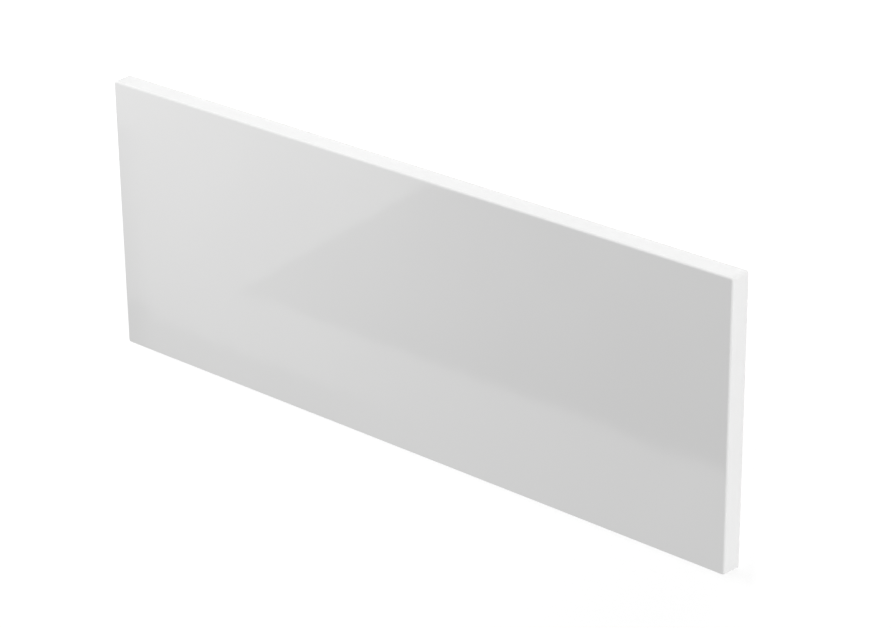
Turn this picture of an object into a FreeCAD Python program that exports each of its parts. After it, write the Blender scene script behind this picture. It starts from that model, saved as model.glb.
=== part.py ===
"""Front panel for a bath: one tray thermoformed from white acrylic sheet.

The sheet is drawn over a male mould, so the inside takes the mould's shape and every
outer radius is the mould's radius plus the sheet. The four returns lean outwards by the
draft that lets the panel lift off its mould, and the rim is trimmed flat.

Frame, in millimetres: the panel lies on its rim with the show face up. The origin is the
middle of the rim plane, +X runs along the length, +Y points to the edge that sits under
the bath's rim, and +Z points out of the show face.
"""
import FreeCAD
import Part
import math
import os

# Driving dimensions, in millimetres and degrees
PANEL_LENGTH = 1500.0
PANEL_HEIGHT = 560.0
PANEL_DEPTH = 40.0
SHEET = 3.0
DRAFT_ANGLE = 2.0
MOULD_EDGE_RADIUS = 1.0
MOULD_CORNER_RADIUS = 3.0

# Radii that the sheet takes on its outside
OUTER_EDGE_RADIUS = MOULD_EDGE_RADIUS + SHEET
OUTER_CORNER_RADIUS = MOULD_CORNER_RADIUS + SHEET

DRAFT = math.radians(DRAFT_ANGLE)

# A leaning wall of the sheet's thickness measures a little more on the flat rim
RIM_WIDTH = SHEET / math.cos(DRAFT)

ORIGIN = FreeCAD.Vector(0, 0, 0)
X_AXIS = FreeCAD.Vector(1, 0, 0)


def drafted_block(length, height, depth):
    """Return a block that stands on the rim plane and narrows towards its top.

    length and height are taken at the rim plane. The wedge is made along Y, then stood up.
    """
    lean = depth * math.tan(DRAFT)
    foot_x = length / 2
    foot_y = height / 2
    head_x = foot_x - lean
    head_y = foot_y - lean
    block = Part.makeWedge(
        -foot_x, 0, -foot_y, -head_y, -head_x,
        foot_x, depth, foot_y, head_y, head_x,
    )
    block.rotate(ORIGIN, X_AXIS, 90)
    return block


def rounded_form(length, height, depth, corner_radius, edge_radius):
    """Return a drafted block with rounded corners and a rounded edge to its top face.

    The upright corners are rounded first, so that the edge of the top face then runs
    through them in one blend.
    """
    block = drafted_block(length, height, depth)
    uprights = [edge for edge in block.Edges if edge.BoundBox.ZLength > depth / 2]
    block = block.makeFillet(corner_radius, uprights)
    top_face = max(block.Faces, key=lambda face: face.CenterOfMass.z)
    return block.makeFillet(edge_radius, top_face.Edges)


def front_panel():
    """Return the tray: the outer form with the mould's form taken out of it."""
    outer = rounded_form(
        PANEL_LENGTH, PANEL_HEIGHT, PANEL_DEPTH, OUTER_CORNER_RADIUS, OUTER_EDGE_RADIUS
    )
    mould = rounded_form(
        PANEL_LENGTH - 2 * RIM_WIDTH,
        PANEL_HEIGHT - 2 * RIM_WIDTH,
        PANEL_DEPTH - SHEET,
        MOULD_CORNER_RADIUS,
        MOULD_EDGE_RADIUS,
    )
    return outer.cut(mould).Solids[0]


os.makedirs("parts", exist_ok=True)
panel = front_panel()
panel.exportStep("parts/front_panel.step")
print("front_panel", panel.ShapeType, "valid", panel.isValid())
print("volume", round(panel.Volume), "mm3, box", panel.BoundBox)
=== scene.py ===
"""Looks for a bath front panel: one tray thermoformed from white acrylic sheet.

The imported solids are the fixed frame. The tray is modelled again over them with fine round edges, dressed
in its three finishes, and shown on a white floor. It lies on its rim with the show face up: +X runs along
its length, +Y points to its top edge and +Z points out of the show face. Lengths are in metres.
"""

import logging
import math
from collections.abc import Callable, Iterator
from contextlib import contextmanager
from dataclasses import dataclass, field
from enum import Enum, IntEnum
from typing import Any, ClassVar

import bmesh
import bpy
from mathutils import Matrix, Vector


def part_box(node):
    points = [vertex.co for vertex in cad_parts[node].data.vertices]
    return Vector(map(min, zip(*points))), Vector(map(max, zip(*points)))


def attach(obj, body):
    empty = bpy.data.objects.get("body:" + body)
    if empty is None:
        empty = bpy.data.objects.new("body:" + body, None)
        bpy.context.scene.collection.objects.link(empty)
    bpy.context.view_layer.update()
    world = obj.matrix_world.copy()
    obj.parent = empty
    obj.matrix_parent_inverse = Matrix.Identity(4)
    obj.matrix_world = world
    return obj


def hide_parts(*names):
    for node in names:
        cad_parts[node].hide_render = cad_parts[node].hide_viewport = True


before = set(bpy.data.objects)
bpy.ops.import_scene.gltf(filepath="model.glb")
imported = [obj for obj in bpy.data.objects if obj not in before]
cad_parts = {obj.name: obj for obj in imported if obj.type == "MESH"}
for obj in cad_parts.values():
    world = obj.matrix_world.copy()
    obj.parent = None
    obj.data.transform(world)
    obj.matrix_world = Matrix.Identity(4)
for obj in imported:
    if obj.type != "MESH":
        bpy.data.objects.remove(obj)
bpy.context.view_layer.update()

PANEL_NODE = "front_panel"
BODY = "root"

X_AXIS = Vector((1.0, 0.0, 0.0))
Y_AXIS = Vector((0.0, 1.0, 0.0))
Z_AXIS = Vector((0.0, 0.0, 1.0))

# A linear colour, a point in space, and a point of the show face as X and Y
Colour = tuple[float, float, float]
Point = tuple[float, float, float]
Mark = tuple[float, float]

log = logging.getLogger("bath_panel")


class Element(Enum):
    """What a selection in edit mode is made of."""

    VERTEX = "VERT"
    EDGE = "EDGE"
    FACE = "FACE"


class Skin(IntEnum):
    """The panel's material slots, in their order on the mesh."""

    SHOW_SIDE = 0
    MOULD_SIDE = 1
    TRIMMED_RIM = 2


def add_square(name: str, side: float) -> bpy.types.Object:
    """Add a level square at the origin, with nothing else selected.

    Args:
        name: The name of the object and of its mesh.
        side: Length of its sides.

    Returns:
        The new object.
    """
    bpy.ops.object.select_all(action="DESELECT")
    bpy.ops.mesh.primitive_plane_add(size=side, location=(0.0, 0.0, 0.0))
    square = bpy.context.active_object
    square.name = name
    square.data.name = name
    return square


def select_only(obj: bpy.types.Object) -> None:
    """Select one object, make it active and deselect everything else.

    Args:
        obj: The object to select.
    """
    bpy.ops.object.select_all(action="DESELECT")
    obj.select_set(True)
    bpy.context.view_layer.objects.active = obj


@contextmanager
def editing(obj: bpy.types.Object) -> Iterator[None]:
    """Open an object in edit mode for the length of a with block.

    Args:
        obj: The mesh object to edit.
    """
    select_only(obj)
    bpy.ops.object.mode_set(mode="EDIT")
    yield
    bpy.ops.object.mode_set(mode="OBJECT")


def pick(obj: bpy.types.Object, element: Element, test: Callable[[Any], bool]) -> None:
    """Select the mesh elements that pass a test, and nothing else.

    Args:
        obj: The object that is open in edit mode.
        element: The kind of element to select.
        test: Says of one element whether it is selected.
    """
    bpy.ops.mesh.select_mode(type=element.value)
    bpy.ops.mesh.select_all(action="DESELECT")
    mesh = bmesh.from_edit_mesh(obj.data)
    elements = {Element.VERTEX: mesh.verts, Element.EDGE: mesh.edges, Element.FACE: mesh.faces}
    for item in elements[element]:
        if test(item):
            item.select_set(True)
    mesh.select_flush_mode()
    bmesh.update_edit_mesh(obj.data)


def apply_modifiers(obj: bpy.types.Object) -> None:
    """Apply every modifier of an object, in order.

    Args:
        obj: The object whose modifiers are applied.
    """
    select_only(obj)
    for name in [modifier.name for modifier in obj.modifiers]:
        bpy.ops.object.modifier_apply(modifier=name)


class NodeTree:
    """A thin helper that places and links the nodes of one node tree."""

    def __init__(self, tree: bpy.types.NodeTree) -> None:
        """Empty the tree and keep it.

        Args:
            tree: The node tree to fill.
        """
        self.tree = tree
        self.tree.nodes.clear()

    def add(self, kind: str, **settings: Any) -> bpy.types.Node:
        """Add a node.

        Args:
            kind: The node's type name.
            settings: Attributes of the node to set.

        Returns:
            The new node.
        """
        node = self.tree.nodes.new(kind)
        for name, value in settings.items():
            setattr(node, name, value)
        return node

    def put(self, node: bpy.types.Node, **values: Any) -> None:
        """Set a node's input sockets.

        Args:
            node: The node.
            values: Socket names, with _ for a space, and what each is set to.
        """
        for name, value in values.items():
            node.inputs[name.replace("_", " ")].default_value = value

    def join(self, start: bpy.types.NodeSocket, end: bpy.types.NodeSocket) -> None:
        """Link an output socket to an input socket."""
        self.tree.links.new(start, end)

    def show(self, shader: bpy.types.NodeSocket, output: str = "ShaderNodeOutputMaterial") -> None:
        """Add the tree's output node, with a shader as its surface."""
        self.join(shader, self.add(output).inputs["Surface"])


def new_material(name: str) -> tuple[bpy.types.Material, NodeTree]:
    """Make a material that has no nodes yet.

    Args:
        name: The material's name.

    Returns:
        The material and its node tree.
    """
    material = bpy.data.materials.new(name)
    material.use_nodes = True
    return material, NodeTree(material.node_tree)


def seen_mask(nodes: NodeTree) -> bpy.types.NodeSocket:
    """Add the mask of the rays that see the white surroundings.

    Args:
        nodes: The tree to add it to.

    Returns:
        A socket that is 1 for camera, glossy and transmission rays and 0 for the rest.
    """
    path = nodes.add("ShaderNodeLightPath")
    either = nodes.add("ShaderNodeMath", operation="MAXIMUM")
    nodes.join(path.outputs["Is Camera Ray"], either.inputs[0])
    nodes.join(path.outputs["Is Glossy Ray"], either.inputs[1])
    seen = nodes.add("ShaderNodeMath", operation="MAXIMUM")
    nodes.join(either.outputs["Value"], seen.inputs[0])
    nodes.join(path.outputs["Is Transmission Ray"], seen.inputs[1])
    return seen.outputs["Value"]


@dataclass(frozen=True)
class SheetRelief:
    """The node group for what forming leaves in a sheet: slow waves, a fine skin and faint patches.

    Attributes:
        name: The group's name.
        wave_detail: How many finer octaves the noise of the slow waves has.
        peel_detail: How many the noise of the fine skin has.
        patch_detail: How many the noise of the patches has.
        patch_size: Size of the patches.
        patch_start: Level of their noise at which a patch begins.
        patch_full: Level of their noise at which a patch is at its full depth.
    """

    name: str = "formed_sheet_relief"
    wave_detail: float = 1.0
    peel_detail: float = 2.0
    patch_detail: float = 3.0
    patch_size: float = 0.35
    patch_start: float = 0.35
    patch_full: float = 0.65

    def build(self) -> bpy.types.NodeTree:
        """Make the group.

        Returns:
            The node group, with sizes and heights in metres as its inputs.
        """
        group = bpy.data.node_groups.new(self.name, "ShaderNodeTree")
        for name, kind in (
            ("Position", "NodeSocketVector"),
            ("Wave Size", "NodeSocketFloat"),
            ("Wave Height", "NodeSocketFloat"),
            ("Peel Size", "NodeSocketFloat"),
            ("Peel Height", "NodeSocketFloat"),
        ):
            group.interface.new_socket(name=name, in_out="INPUT", socket_type=kind)
        for name in ("Height", "Patches"):
            group.interface.new_socket(name=name, in_out="OUTPUT", socket_type="NodeSocketFloat")
        nodes = NodeTree(group)
        inputs = nodes.add("NodeGroupInput")
        outputs = nodes.add("NodeGroupOutput")
        total = nodes.add("ShaderNodeMath", operation="ADD")
        nodes.join(self._layer(nodes, inputs, "Wave", self.wave_detail), total.inputs[0])
        nodes.join(self._layer(nodes, inputs, "Peel", self.peel_detail), total.inputs[1])
        nodes.join(total.outputs["Value"], outputs.inputs["Height"])
        nodes.join(self._patches(nodes, inputs), outputs.inputs["Patches"])
        return group

    def _layer(
        self, nodes: NodeTree, inputs: bpy.types.Node, layer: str, detail: float
    ) -> bpy.types.NodeSocket:
        """Make one layer of relief from noise.

        Args:
            nodes: The group's nodes.
            inputs: The group's input node.
            layer: The first word of the layer's two inputs.
            detail: How many finer octaves the noise has.

        Returns:
            The socket that gives the layer's height.
        """
        pitch = nodes.add("ShaderNodeMath", operation="DIVIDE")
        pitch.inputs[0].default_value = 1.0
        nodes.join(inputs.outputs[f"{layer} Size"], pitch.inputs[1])
        noise = nodes.add("ShaderNodeTexNoise")
        nodes.put(noise, Detail=detail)
        nodes.join(inputs.outputs["Position"], noise.inputs["Vector"])
        nodes.join(pitch.outputs["Value"], noise.inputs["Scale"])
        height = nodes.add("ShaderNodeMath", operation="MULTIPLY")
        nodes.join(noise.outputs["Fac"], height.inputs[0])
        nodes.join(inputs.outputs[f"{layer} Height"], height.inputs[1])
        return height.outputs["Value"]

    def _patches(self, nodes: NodeTree, inputs: bpy.types.Node) -> bpy.types.NodeSocket:
        """Make the mask of the sheet's faint patches.

        Args:
            nodes: The group's nodes.
            inputs: The group's input node.

        Returns:
            The socket that gives the mask, from 0 to 1.
        """
        noise = nodes.add("ShaderNodeTexNoise")
        nodes.put(noise, Scale=1.0 / self.patch_size, Detail=self.patch_detail)
        nodes.join(inputs.outputs["Position"], noise.inputs["Vector"])
        spread = nodes.add("ShaderNodeMapRange", interpolation_type="SMOOTHSTEP")
        nodes.put(spread, From_Min=self.patch_start, From_Max=self.patch_full)
        nodes.join(noise.outputs["Fac"], spread.inputs["Value"])
        return spread.outputs["Result"]


@dataclass(frozen=True)
class SheetFinish:
    """One finish of the acrylic sheet, and the relief that forming left in it.

    Attributes:
        name: The material's name.
        colour: The acrylic's colour.
        shade: The colour of its slightly deeper patches.
        gloss: Roughness of the smoothest patches.
        dull: Roughness of the dullest patches.
        wave_size: Length of the slow waves that forming leaves.
        wave_height: Height of those waves.
        peel_size: Size of the fine skin texture.
        peel_height: Height of the fine skin texture.
    """

    name: str
    colour: Colour
    shade: Colour
    gloss: float
    dull: float
    wave_size: float
    wave_height: float
    peel_size: float
    peel_height: float

    ACRYLIC_IOR: ClassVar[float] = 1.49

    def build(self, relief: bpy.types.NodeTree) -> bpy.types.Material:
        """Make the material.

        Args:
            relief: The node group that makes the sheet's relief and patches.

        Returns:
            The new material.
        """
        material, nodes = new_material(self.name)
        acrylic = nodes.add("ShaderNodeBsdfPrincipled")
        nodes.put(acrylic, IOR=self.ACRYLIC_IOR)
        nodes.show(acrylic.outputs["BSDF"])

        place = nodes.add("ShaderNodeTexCoord")
        sheet = nodes.add("ShaderNodeGroup", node_tree=relief)
        nodes.put(
            sheet,
            Wave_Size=self.wave_size,
            Wave_Height=self.wave_height,
            Peel_Size=self.peel_size,
            Peel_Height=self.peel_height,
        )
        nodes.join(place.outputs["Object"], sheet.inputs["Position"])

        tint = nodes.add("ShaderNodeMix", data_type="RGBA")
        colour_a, colour_b = [socket for socket in tint.inputs if socket.type == "RGBA"]
        colour_a.default_value = (*self.colour, 1.0)
        colour_b.default_value = (*self.shade, 1.0)
        nodes.join(sheet.outputs["Patches"], tint.inputs["Factor"])
        tinted = next(socket for socket in tint.outputs if socket.type == "RGBA")
        nodes.join(tinted, acrylic.inputs["Base Color"])

        gloss = nodes.add("ShaderNodeMapRange")
        nodes.put(gloss, To_Min=self.gloss, To_Max=self.dull)
        nodes.join(sheet.outputs["Patches"], gloss.inputs["Value"])
        nodes.join(gloss.outputs["Result"], acrylic.inputs["Roughness"])

        # The group gives its height in metres, so the bump takes it as it is
        bump = nodes.add("ShaderNodeBump")
        nodes.put(bump, Strength=1.0, Distance=1.0)
        nodes.join(sheet.outputs["Height"], bump.inputs["Height"])
        nodes.join(bump.outputs["Normal"], acrylic.inputs["Normal"])
        return material


SHOW_FINISH = SheetFinish(
    name="gloss_white_acrylic",
    colour=(0.860, 0.860, 0.858),
    shade=(0.850, 0.850, 0.848),
    gloss=0.045,
    dull=0.055,
    wave_size=0.12,
    wave_height=0.00022,
    peel_size=0.006,
    peel_height=0.0000012,
)
MOULD_FINISH = SheetFinish(
    name="mould_side_acrylic",
    colour=(0.800, 0.800, 0.790),
    shade=(0.770, 0.770, 0.760),
    gloss=0.38,
    dull=0.50,
    wave_size=0.28,
    wave_height=0.00012,
    peel_size=0.0025,
    peel_height=0.000025,
)
RIM_FINISH = SheetFinish(
    name="trimmed_acrylic_rim",
    colour=(0.830, 0.830, 0.825),
    shade=(0.800, 0.800, 0.795),
    gloss=0.28,
    dull=0.40,
    wave_size=0.05,
    wave_height=0.00001,
    peel_size=0.0012,
    peel_height=0.00002,
)


@dataclass
class FrontPanel:
    """The tray itself.

    Attributes:
        low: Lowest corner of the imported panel.
        high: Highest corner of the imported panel.
        sheet: Thickness of the acrylic.
        draft: Lean of the returns.
        edge_radius: Radius between the show face and the returns.
        corner_radius: Radius between two returns.
        edge_break: Width of the broken edge on the trimmed rim.
        rim_zone: Height over the rim plane below which a point belongs to the rim.
        edge_steps: Facets across the edge radius.
        corner_steps: Facets across a corner radius.
        break_steps: Facets across the broken edge.
        holding: Distance from a round to the cut that keeps the flat beside it flat.
        finishes: The finish of each skin of the sheet.
    """

    low: Vector
    high: Vector
    sheet: float = 0.003
    draft: float = math.radians(2.0)
    edge_radius: float = 0.004
    corner_radius: float = 0.006
    edge_break: float = 0.0006
    rim_zone: float = 0.00075
    edge_steps: int = 12
    corner_steps: int = 14
    break_steps: int = 3
    holding: float = 0.0015
    finishes: dict[Skin, SheetFinish] = field(
        default_factory=lambda: {
            Skin.SHOW_SIDE: SHOW_FINISH,
            Skin.MOULD_SIDE: MOULD_FINISH,
            Skin.TRIMMED_RIM: RIM_FINISH,
        }
    )

    NAME: ClassVar[str] = "panel_moulding"

    # Points nearer than this to each other, or to a plane, count as together
    NEAR: ClassVar[float] = 1e-5

    # Edges that turn by less than this are shaded smooth
    SMOOTH_ANGLE: ClassVar[float] = math.radians(40.0)

    # The bevel profile of a round arc, and the side of a surface that a wall grows to
    ARC: ClassVar[float] = 0.5
    INWARDS: ClassVar[float] = -1.0

    def build(self) -> bpy.types.Object:
        """Model the tray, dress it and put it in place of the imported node.

        Returns:
            The finished object.
        """
        panel = self._cut_blank()
        self._draw_up(panel)
        self._round_face_edge(panel)
        self._cut_holding_lines(panel)
        self._dress(panel)
        self._thicken(panel)
        self._trim_rim(panel)
        self._smooth(panel)
        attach(panel, BODY)
        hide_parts(PANEL_NODE)
        log.info("%s: %d faces", panel.name, len(panel.data.polygons))
        return panel

    @property
    def size(self) -> Vector:
        """Length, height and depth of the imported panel."""
        return self.high - self.low

    @property
    def lean(self) -> float:
        """How far the returns lean in from the rim to the show face."""
        return self.size.z * math.tan(self.draft)

    def _cut_blank(self) -> bpy.types.Object:
        """Cut a flat blank of the rim's outline, with its corners rounded.

        Returns:
            The new object.
        """
        panel = add_square(self.NAME, 1.0)
        middle = (self.low + self.high) / 2
        with editing(panel):
            bpy.ops.mesh.select_all(action="SELECT")
            bpy.ops.transform.resize(value=(self.size.x, self.size.y, 1.0))
            bpy.ops.transform.translate(value=(middle.x, middle.y, self.low.z))
            bpy.ops.mesh.bevel(
                offset=self.corner_radius,
                segments=self.corner_steps,
                profile=self.ARC,
                affect="VERTICES",
            )
        return panel

    def _draw_up(self, panel: bpy.types.Object) -> None:
        """Draw the blank up into the returns, which lean in by the draft.

        Args:
            panel: The flat blank.
        """
        narrowing = (1 - 2 * self.lean / self.size.x, 1 - 2 * self.lean / self.size.y, 1.0)

        def is_blank(face: bmesh.types.BMFace) -> bool:
            """Say whether a face is what is left of the blank, on the rim plane."""
            return face.calc_center_median().z < self.low.z + self.NEAR

        with editing(panel):
            bpy.ops.mesh.select_mode(type=Element.FACE.value)
            bpy.ops.mesh.select_all(action="SELECT")
            bpy.ops.mesh.extrude_region_move(TRANSFORM_OT_translate={"value": (0.0, 0.0, self.size.z)})
            bpy.ops.transform.resize(value=narrowing)
            pick(panel, Element.FACE, is_blank)
            bpy.ops.mesh.delete(type="ONLY_FACE")

    def _round_face_edge(self, panel: bpy.types.Object) -> None:
        """Round the edge between the show face and the returns.

        Args:
            panel: The drawn tray, still a surface with no thickness.
        """
        turn = math.pi / 2 - self.draft
        setback = self.edge_radius * math.tan(turn / 2)

        def on_face_edge(edge: bmesh.types.BMEdge) -> bool:
            """Say whether an edge runs round the show face."""
            return all(vertex.co.z > self.high.z - self.NEAR for vertex in edge.verts)

        with editing(panel):
            pick(panel, Element.EDGE, on_face_edge)
            bpy.ops.mesh.bevel(
                offset=setback,
                offset_type="OFFSET",
                segments=self.edge_steps,
                profile=self.ARC,
                affect="EDGES",
            )

    def _cut_holding_lines(self, panel: bpy.types.Object) -> None:
        """Cut the flats close beside each round, so that smooth shading leaves them flat.

        Args:
            panel: The tray with its edge rounded.
        """
        inset = self.corner_radius + self.holding
        cuts = (
            (self.low.x + inset, X_AXIS),
            (self.high.x - inset, X_AXIS),
            (self.low.y + inset, Y_AXIS),
            (self.high.y - inset, Y_AXIS),
            (self.high.z - self.edge_radius - self.holding, Z_AXIS),
        )
        with editing(panel):
            for place, normal in cuts:
                bpy.ops.mesh.select_all(action="SELECT")
                bpy.ops.mesh.bisect(plane_co=place * normal, plane_no=normal)

    def _dress(self, panel: bpy.types.Object) -> None:
        """Give the mesh its material slots, in the order of Skin.

        Args:
            panel: The object to dress.
        """
        relief = SheetRelief().build()
        for skin in Skin:
            panel.data.materials.append(self.finishes[skin].build(relief))

    def _thicken(self, panel: bpy.types.Object) -> None:
        """Give the surface the sheet's thickness, inwards.

        Args:
            panel: The tray as a surface.
        """
        with editing(panel):
            bpy.ops.mesh.select_all(action="SELECT")
            bpy.ops.mesh.remove_doubles(threshold=self.NEAR)
            bpy.ops.mesh.normals_make_consistent(inside=False)
        wall = panel.modifiers.new("sheet", "SOLIDIFY")
        wall.thickness = self.sheet
        wall.offset = self.INWARDS
        wall.use_even_offset = True
        wall.use_quality_normals = True
        wall.use_rim = True
        wall.material_offset = Skin.MOULD_SIDE
        wall.material_offset_rim = Skin.TRIMMED_RIM
        apply_modifiers(panel)

    def _trim_rim(self, panel: bpy.types.Object) -> None:
        """Trim the rim flat and break its two edges.

        Args:
            panel: The tray with its thickness.
        """

        def on_rim(vertex: bmesh.types.BMVert) -> bool:
            """Say whether a point lies on the rim."""
            return vertex.co.z < self.low.z + self.rim_zone

        def round_rim(edge: bmesh.types.BMEdge) -> bool:
            """Say whether an edge parts the rim from the show side or the mould side."""
            kinds = {face.material_index for face in edge.link_faces}
            return Skin.TRIMMED_RIM in kinds and len(kinds) > 1

        with editing(panel):
            pick(panel, Element.VERTEX, on_rim)
            bpy.ops.transform.resize(value=(1.0, 1.0, 0.0), center_override=(0.0, 0.0, self.low.z))
            pick(panel, Element.EDGE, round_rim)
            bpy.ops.mesh.bevel(
                offset=self.edge_break,
                segments=self.break_steps,
                profile=self.ARC,
                affect="EDGES",
                material=Skin.TRIMMED_RIM,
            )

    def _smooth(self, panel: bpy.types.Object) -> None:
        """Shade the rounds smooth and put the mesh's place into its points.

        Args:
            panel: The finished mesh.
        """
        select_only(panel)
        bpy.ops.object.transform_apply(location=True, rotation=True, scale=True)
        bpy.ops.object.shade_smooth_by_angle(angle=self.SMOOTH_ANGLE)


@dataclass(frozen=True)
class SoftBox:
    """A soft studio lamp that lights the panel, and that neither the camera nor the gloss sees.

    Attributes:
        name: The lamp's name.
        centre: Where it stands.
        aim: The point that it faces.
        width: Its width.
        height: Its height.
        radiance: How bright its face is, where 1 is white.
    """

    name: str
    centre: Point
    aim: Point
    width: float
    height: float
    radiance: float

    def build(self) -> bpy.types.Object:
        """Make the lamp.

        Returns:
            The lamp's object.
        """
        lamp = bpy.data.lights.new(self.name, "AREA")
        lamp.shape = "RECTANGLE"
        lamp.size = self.width
        lamp.size_y = self.height
        lamp.energy = self.radiance * math.pi * self.width * self.height
        box = bpy.data.objects.new(self.name, lamp)
        bpy.context.scene.collection.objects.link(box)
        box.location = self.centre
        facing = Vector(self.aim) - Vector(self.centre)
        box.rotation_euler = facing.to_track_quat("-Z", "Y").to_euler()
        box.visible_camera = False
        box.visible_glossy = False
        log.info("%s: radiance %.2f", self.name, self.radiance)
        return box


@dataclass(frozen=True)
class DarkBoard:
    """A dark board hung level over the panel, which shows only as a reflection in the gloss.

    The board is placed by what it does: its edges are where the camera sees them in the show face.

    Attributes:
        name: The board's name.
        tip: Point of the show face where the two edges of the reflection meet.
        slant: Another point of the show face, on the slanted edge of the reflection.
        far_corner: Point beyond the show face that the reflection runs out to.
        fade_end: Where along the show face, as X, the reflection is down to its full depth.
        tip_grey: The board's colour at the tip, linear.
        grey: Its colour beyond the end of the fade, linear.
        level: Height of the board over the floor. Where two overlap, the lower one shows.
    """

    name: str
    tip: Mark
    slant: Mark
    far_corner: Mark
    fade_end: float
    tip_grey: float
    grey: float
    level: float

    def build(self, station: Vector, face_level: float) -> bpy.types.Object:
        """Make the board.

        Args:
            station: Where the camera stands.
            face_level: Height of the show face.

        Returns:
            The board's object.
        """
        board = add_square(self.name, 1.0)
        for corner, mark in zip(board.data.polygons[0].vertices, self._outline(), strict=True):
            board.data.vertices[corner].co = self._over(mark, station, face_level)
        fade_start = self._over(self.tip, station, face_level).x
        fade_end = self._over((self.fade_end, self.tip[1]), station, face_level).x
        board.data.materials.append(self._paint(fade_start, fade_end))
        board.visible_camera = False
        board.visible_diffuse = False
        board.visible_shadow = False
        log.info("%s: hung at %.2f m", self.name, self.level)
        return board

    def _paint(self, fade_start: float, fade_end: float) -> bpy.types.Material:
        """Make the board's paint, which fades along the board from its tip.

        Args:
            fade_start: Where along X the paint starts to change.
            fade_end: Where along X it has come to its last grey.

        Returns:
            The new material.
        """
        material, nodes = new_material(self.name)
        place = nodes.add("ShaderNodeTexCoord")
        along = nodes.add("ShaderNodeSeparateXYZ")
        nodes.join(place.outputs["Object"], along.inputs["Vector"])
        fade = nodes.add("ShaderNodeMapRange")
        nodes.put(fade, From_Min=fade_start, From_Max=fade_end, To_Min=self.tip_grey, To_Max=self.grey)
        nodes.join(along.outputs["X"], fade.inputs["Value"])
        glow = nodes.add("ShaderNodeEmission")
        nodes.join(fade.outputs["Result"], glow.inputs["Strength"])
        nodes.show(glow.outputs["Emission"])
        return material

    def _outline(self) -> list[Mark]:
        """Give the reflection's corners on the plane of the show face.

        Returns:
            Four points, in order round the outline.
        """
        tip_x, tip_y = self.tip
        slant_x, slant_y = self.slant
        far_x, far_y = self.far_corner
        share = (far_y - tip_y) / (slant_y - tip_y)
        return [self.tip, (far_x, tip_y), self.far_corner, (tip_x + share * (slant_x - tip_x), far_y)]

    def _over(self, mark: Mark, station: Vector, face_level: float) -> Vector:
        """Find the point of the board that is reflected at a point of the show face.

        Args:
            mark: The point of the show face.
            station: Where the camera stands.
            face_level: Height of the show face.

        Returns:
            The point where the reflected line of sight meets the board's level.
        """
        mirrored = Vector((station.x, station.y, 2 * face_level - station.z))
        share = (self.level - mirrored.z) / (face_level - mirrored.z)
        return mirrored.lerp(Vector((*mark, face_level)), share)


@dataclass(frozen=True)
class Studio:
    """The white floor, the surroundings, the lamps and the dark boards.

    Attributes:
        floor_size: Side of the floor.
        floor_grey: The floor's own colour, linear.
        near_glow: What the floor adds round the panel for the rays that see it, so that it is white there.
        far_glow: What the floor adds out where the lamps no longer reach it.
        near: Distance from the panel's middle where the far glow starts to come in.
        far: Distance where it is all in.
        ambient: How bright the surroundings are as light, where 1 is white.
        lamps: The soft boxes.
        boards: The dark boards that the gloss reflects.
    """

    floor_size: float
    floor_grey: float
    near_glow: float
    far_glow: float
    near: float
    far: float
    ambient: float
    lamps: tuple[SoftBox, ...]
    boards: tuple[DarkBoard, ...]

    def build(self, station: Vector, face_level: float) -> None:
        """Make everything that stands round the panel.

        Args:
            station: Where the camera stands.
            face_level: Height of the show face.
        """
        self._lay_floor()
        self._light_surroundings()
        for lamp in self.lamps:
            lamp.build()
        for board in self.boards:
            board.build(station, face_level)

    def _lay_floor(self) -> None:
        """Lay the white floor, level with the panel's rim."""
        floor = add_square("studio_floor", self.floor_size)
        floor.data.materials.append(self._floor_paint())
        log.info("%s: %.0f m square", floor.name, self.floor_size)

    def _floor_paint(self) -> bpy.types.Material:
        """Make the floor's paint: a pale grey for the light, with a glow for the rays that see it.

        Returns:
            The new material.
        """
        material, nodes = new_material("white_floor")
        paint = nodes.add("ShaderNodeBsdfDiffuse")
        nodes.put(paint, Color=(self.floor_grey, self.floor_grey, self.floor_grey, 1.0))
        glow = nodes.add("ShaderNodeEmission")
        nodes.join(self._glow_strength(nodes), glow.inputs["Strength"])
        both = nodes.add("ShaderNodeAddShader")
        nodes.join(paint.outputs["BSDF"], both.inputs[0])
        nodes.join(glow.outputs["Emission"], both.inputs[1])
        nodes.show(both.outputs["Shader"])
        return material

    def _glow_strength(self, nodes: NodeTree) -> bpy.types.NodeSocket:
        """Add the nodes for the floor's glow, which grows with the distance from the panel.

        Args:
            nodes: The nodes of the floor's paint.

        Returns:
            The socket that gives the glow's strength.
        """
        place = nodes.add("ShaderNodeTexCoord")
        distance = nodes.add("ShaderNodeVectorMath", operation="LENGTH")
        nodes.join(place.outputs["Object"], distance.inputs[0])
        level = nodes.add("ShaderNodeMapRange", interpolation_type="SMOOTHSTEP")
        nodes.put(level, From_Min=self.near, From_Max=self.far, To_Min=self.near_glow, To_Max=self.far_glow)
        nodes.join(distance.outputs["Value"], level.inputs["Value"])
        strength = nodes.add("ShaderNodeMath", operation="MULTIPLY")
        nodes.join(seen_mask(nodes), strength.inputs[0])
        nodes.join(level.outputs["Result"], strength.inputs[1])
        return strength.outputs["Value"]

    def _light_surroundings(self) -> None:
        """Make the world white where it is seen, and dimmer as a light."""
        world = bpy.data.worlds.new("white_surroundings")
        world.use_nodes = True
        bpy.context.scene.world = world
        nodes = NodeTree(world.node_tree)
        sky = nodes.add("ShaderNodeBackground")
        nodes.put(sky, Color=(1.0, 1.0, 1.0, 1.0))
        level = nodes.add("ShaderNodeMapRange")
        nodes.put(level, To_Min=self.ambient, To_Max=1.0)
        nodes.join(seen_mask(nodes), level.inputs["Value"])
        nodes.join(level.outputs["Result"], sky.inputs["Strength"])
        nodes.show(sky.outputs["Background"], "ShaderNodeOutputWorld")
        log.info("%s: ambient %.2f", world.name, self.ambient)


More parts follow.
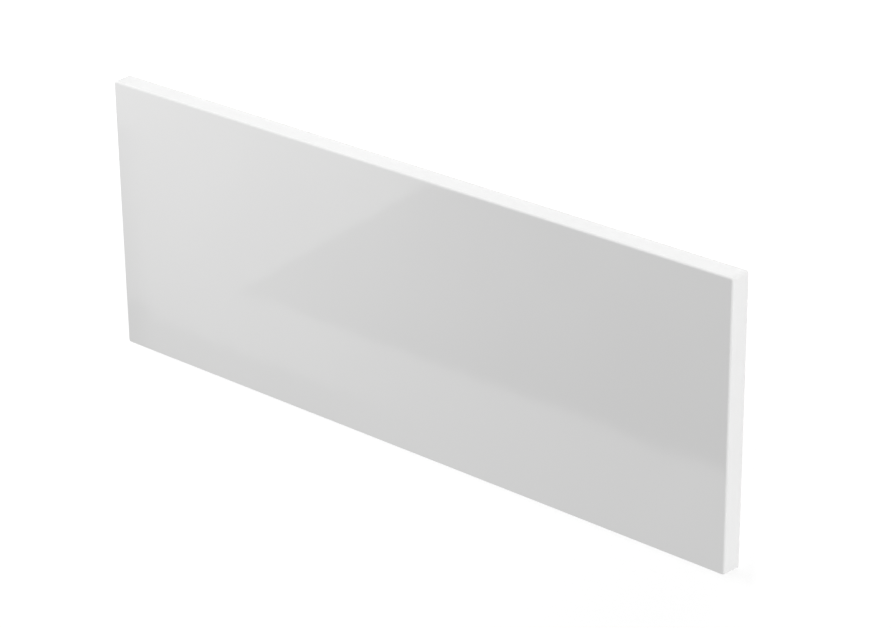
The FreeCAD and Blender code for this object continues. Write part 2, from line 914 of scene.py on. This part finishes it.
@dataclass(frozen=True)
class Viewpoint:
    """The camera that looks down on the show face, with the panel's top edge up in the picture.

    Attributes:
        station: Where the camera stands.
        aim: The point at the middle of the picture.
        roll: Turn of the picture about the line of sight.
        lens: Focal length, in millimetres.
    """

    station: Point
    aim: Point
    roll: float
    lens: float

    NAME: ClassVar[str] = "photo_camera"

    # Width of the sensor, in millimetres
    SENSOR: ClassVar[float] = 36.0

    def build(self) -> bpy.types.Object:
        """Make the camera and hand it to the scene.

        Returns:
            The camera's object.
        """
        data = bpy.data.cameras.new(self.NAME)
        data.sensor_width = self.SENSOR
        data.lens = self.lens
        camera = bpy.data.objects.new(self.NAME, data)
        bpy.context.scene.collection.objects.link(camera)
        sight = (Vector(self.aim) - Vector(self.station)).normalized()
        right = sight.cross(Y_AXIS).normalized()
        up = right.cross(sight)
        turn = Matrix((right, up, -sight)).transposed() @ Matrix.Rotation(-self.roll, 3, "Z")
        camera.matrix_world = Matrix.Translation(self.station) @ turn.to_4x4()
        bpy.context.scene.camera = camera
        log.info("%s: lens %.1f mm", camera.name, self.lens)
        return camera


STUDIO = Studio(
    floor_size=80.0,
    floor_grey=0.70,
    near_glow=0.54,
    far_glow=0.70,
    near=0.7,
    far=2.6,
    ambient=0.50,
    lamps=(
        SoftBox(
            name="top_side_bank",
            centre=(0.6, 2.2, 0.25),
            aim=(0.1, 0.28, 0.02),
            width=4.0,
            height=0.35,
            radiance=6.3,
        ),
        SoftBox(
            name="right_side_bank",
            centre=(4.5, -1.9, 0.6),
            aim=(0.0, 0.0, 0.0),
            width=3.6,
            height=1.0,
            radiance=7.55,
        ),
        SoftBox(
            name="left_overhead",
            centre=(-1.0, 0.8, 1.6),
            aim=(-0.6, 0.1, 0.0),
            width=1.2,
            height=0.9,
            radiance=3.25,
        ),
    ),
    boards=(
        DarkBoard(
            name="upper_dark_board",
            tip=(-0.419, -0.075),
            slant=(0.065, 0.270),
            far_corner=(0.900, 0.400),
            fade_end=0.20,
            tip_grey=0.50,
            grey=0.02,
            level=2.3,
        ),
        DarkBoard(
            name="lower_grey_board",
            tip=(0.050, -0.205),
            slant=(0.100, -0.280),
            far_corner=(-0.950, -0.450),
            fade_end=-0.30,
            tip_grey=1.0,
            grey=0.55,
            level=2.3,
        ),
        DarkBoard(
            name="left_grey_board",
            tip=(-0.672, 0.190),
            slant=(-0.650, -0.280),
            far_corner=(-0.950, -0.450),
            fade_end=-0.760,
            tip_grey=1.0,
            grey=0.42,
            level=2.4,
        ),
        DarkBoard(
            name="corner_dark_board",
            tip=(-0.678, -0.185),
            slant=(-0.672, -0.280),
            far_corner=(-0.950, -0.450),
            fade_end=-0.722,
            tip_grey=0.62,
            grey=0.02,
            level=2.2,
        ),
    ),
)
VIEWPOINT = Viewpoint(
    station=(3.4522, 2.2579, 3.7617),
    aim=(0.1118, 0.0308, 0.0400),
    roll=math.radians(0.605),
    lens=122.54,
)


def main() -> None:
    """Build the panel, the studio and the camera, in that order."""
    logging.basicConfig(level=logging.INFO, format="%(name)s %(message)s")
    low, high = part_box(PANEL_NODE)
    FrontPanel(low, high).build()
    STUDIO.build(Vector(VIEWPOINT.station), high.z)
    VIEWPOINT.build()
    bpy.context.scene.view_settings.view_transform = "Standard"


if __name__ == "__main__":
    main()
